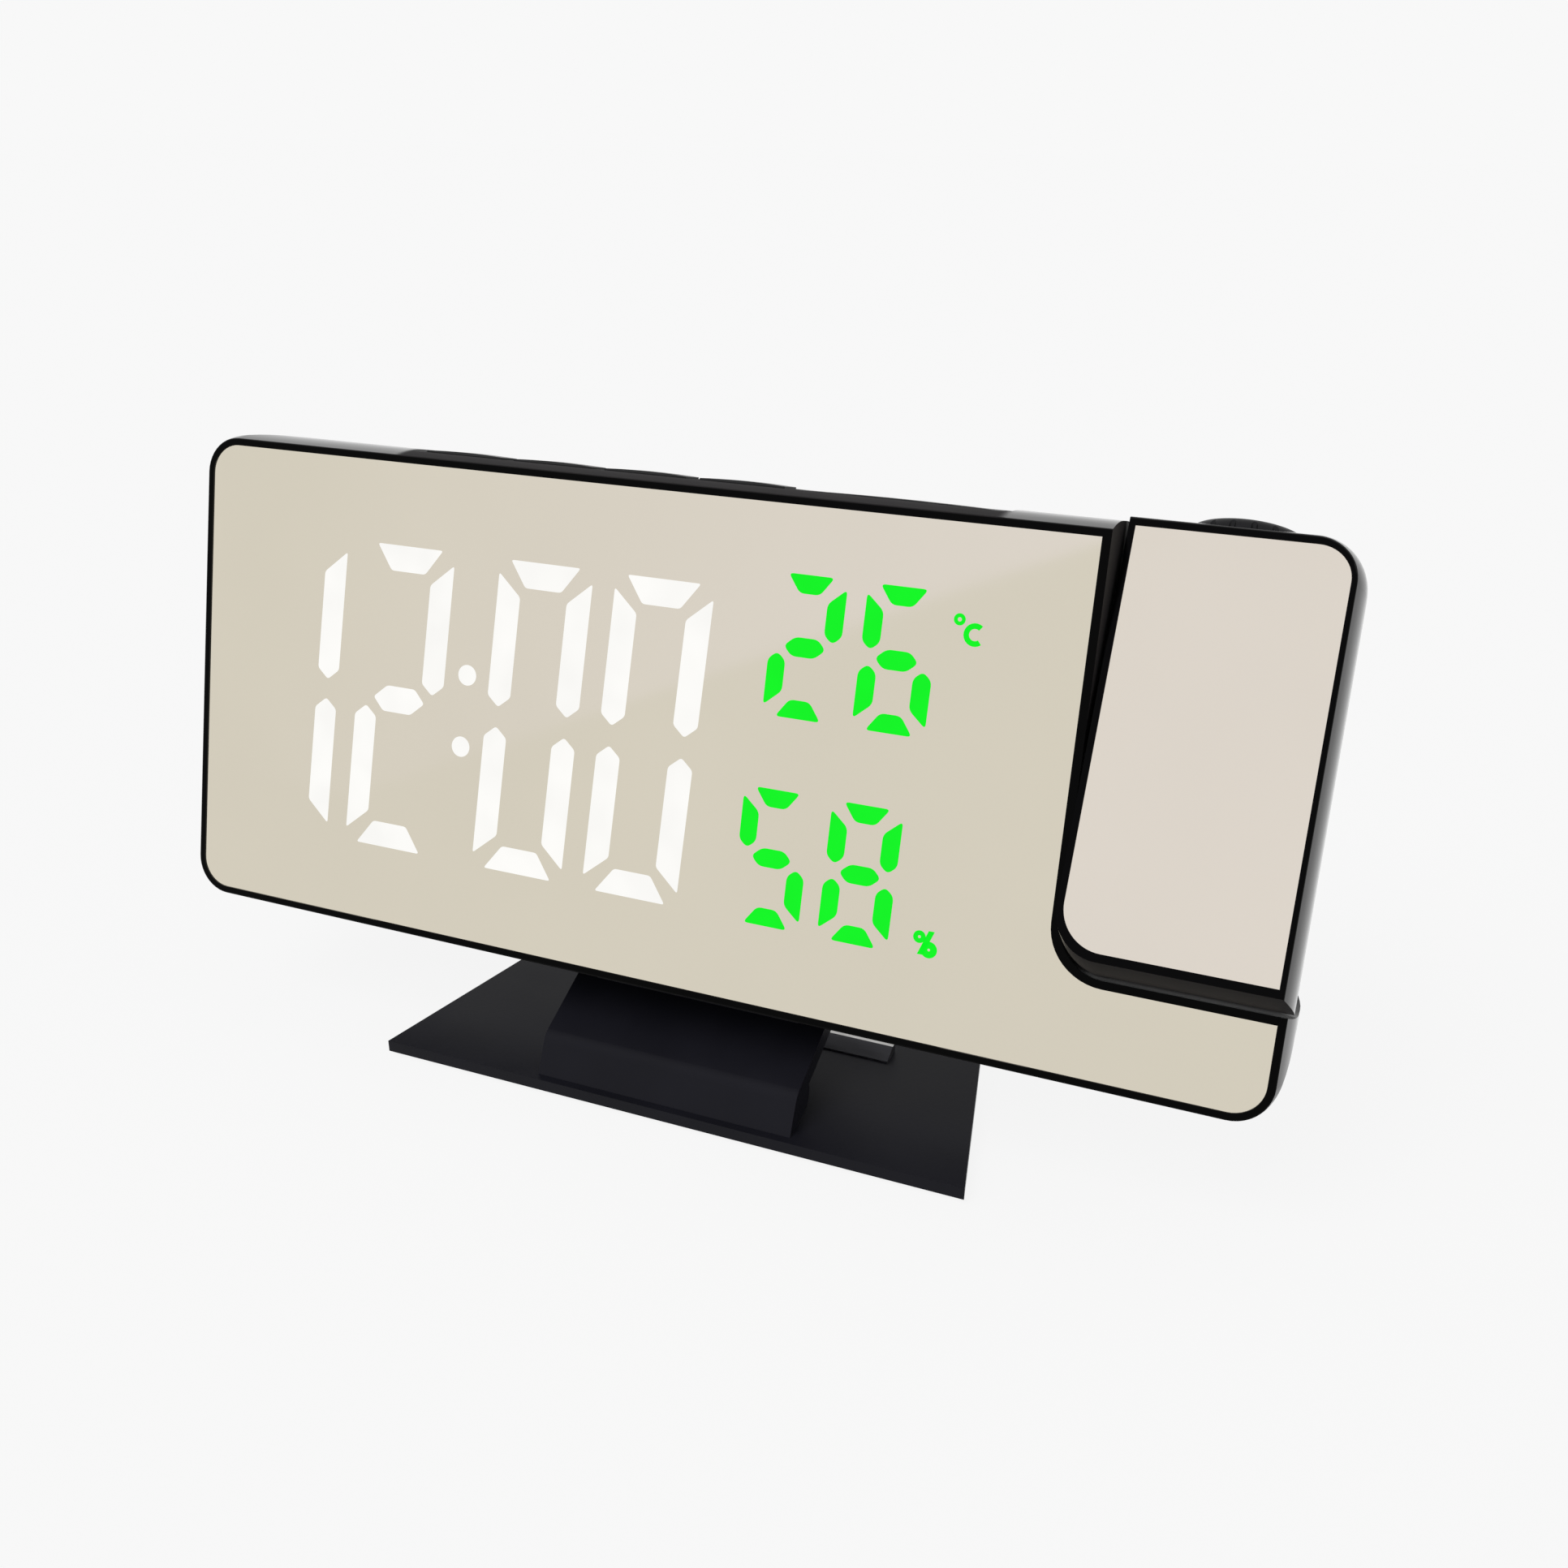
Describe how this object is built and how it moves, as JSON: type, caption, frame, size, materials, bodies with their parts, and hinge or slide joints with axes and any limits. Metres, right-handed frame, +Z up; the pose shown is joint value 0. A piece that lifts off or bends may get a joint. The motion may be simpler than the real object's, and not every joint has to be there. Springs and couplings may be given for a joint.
{
  "type": "projection alarm clock",
  "caption": "Mirror-faced digital alarm clock leaning back on a trapezoid stand, with a swivelling time projector arm set into its right-hand end.",
  "frame": {"origin": "middle of the clock's footprint, on the table under the foot pads", "axes": "+X along the clock towards the projector arm, +Y back, +Z up"},
  "size_m": [0.1842, 0.0514, 0.097],
  "materials": {
    "frame_black": "gloss moulded ABS",
    "cover_black": "fine satin moulded ABS",
    "stand_black": "fine spark-eroded moulded ABS",
    "key_black": "satin moulded ABS",
    "ring_black": "satin moulded ABS",
    "mirror": "champagne half-silvered panel",
    "white_plastic": "white moulding",
    "circuit_board": "solder-masked laminate",
    "zinc_steel": "zinc plated",
    "steel": "nickel plated",
    "black_acetal": "smooth moulding",
    "lamp": "clear resin over phosphor",
    "clear_glass": "polished",
    "rubber": "plain"
  },
  "bodies": {
    "clock": {"front_frame": "frame_black", "mirror_panel": "mirror", "diffuser_sheet": "white_plastic", "segment_reflector": "white_plastic", "display_board": "circuit_board", "rear_cover": "cover_black", "body_screws": "zinc_steel", "key_board": "circuit_board", "usb_charge_socket": "steel", "power_socket": "steel", "buzzer": "black_acetal", "climate_sensor": "white_plastic", "cell_clip": "steel", "coin_cell": "steel", "hub_bush": "black_acetal", "friction_washer": "steel", "stand": "stand_black", "ballast_bar": "steel", "foot_pads": "rubber"},
    "projector": {"pivot_shaft": "black_acetal", "pivot_circlip": "steel", "arm_front_shell": "frame_black", "arm_rear_shell": "cover_black", "arm_mirror": "mirror", "arm_screws": "zinc_steel", "projector_board": "circuit_board", "projector_led": "lamp", "condenser_lens": "clear_glass", "image_slide": "clear_glass", "optics_tube": "black_acetal"},
    "lens": {"lens_barrel": "black_acetal", "projection_lens": "clear_glass"},
    "focus": {"focus_ring": "ring_black"},
    "set_key": {"key_set": "key_black"},
    "up_key": {"key_up": "key_black"},
    "down_key": {"key_down": "key_black"},
    "alarm_key": {"key_alarm": "key_black"},
    "snooze": {"snooze_bar": "key_black"},
    "battery_door": {"cell_door": "cover_black"}
  },
  "joints": [
    {"name": "arm_tilt", "type": "hinge", "parent": "clock", "child": "projector", "pos_m": [0.0592, 0.00096, 0.06811], "axis": [-1, 0, 0], "range_deg": [-107.7, 72.3]},
    {"name": "focus_turn", "type": "hinge", "parent": "projector", "child": "focus", "pos_m": [0.0747, 0.01548, 0.09124], "axis": [0, 0.5255, 0.8508], "range_deg": [-135, 135]},
    {"name": "lens_travel", "type": "slide", "parent": "projector", "child": "lens", "axis": [0, 0.5255, 0.8508], "range_m": [-0.0009, 0.0009]},
    {"name": "set_press", "type": "slide", "parent": "clock", "child": "set_key", "axis": [0, -0.2419, -0.9703], "range_m": [0, 0.0006], "stiffness_N_per_m": 1500, "springref_m": -0.0006},
    {"name": "up_press", "type": "slide", "parent": "clock", "child": "up_key", "axis": [0, -0.2419, -0.9703], "range_m": [0, 0.0006], "stiffness_N_per_m": 1500, "springref_m": -0.0006},
    {"name": "down_press", "type": "slide", "parent": "clock", "child": "down_key", "axis": [0, -0.2419, -0.9703], "range_m": [0, 0.0006], "stiffness_N_per_m": 1500, "springref_m": -0.0006},
    {"name": "alarm_press", "type": "slide", "parent": "clock", "child": "alarm_key", "axis": [0, -0.2419, -0.9703], "range_m": [0, 0.0006], "stiffness_N_per_m": 1500, "springref_m": -0.0006},
    {"name": "snooze_press", "type": "slide", "parent": "clock", "child": "snooze", "axis": [0, -0.2419, -0.9703], "range_m": [0, 0.0006], "stiffness_N_per_m": 1500, "springref_m": -0.0006},
    {"name": "cell_door_turn", "type": "hinge", "parent": "clock", "child": "battery_door", "pos_m": [0.008, 0.01026, 0.05498], "axis": [0, 0.9703, -0.2419], "range_deg": [0, 40]}
  ],
  "couplings": [
    {"joint": "focus_turn", "follows": "lens_travel", "rad_per_m": 2600}
  ]
}
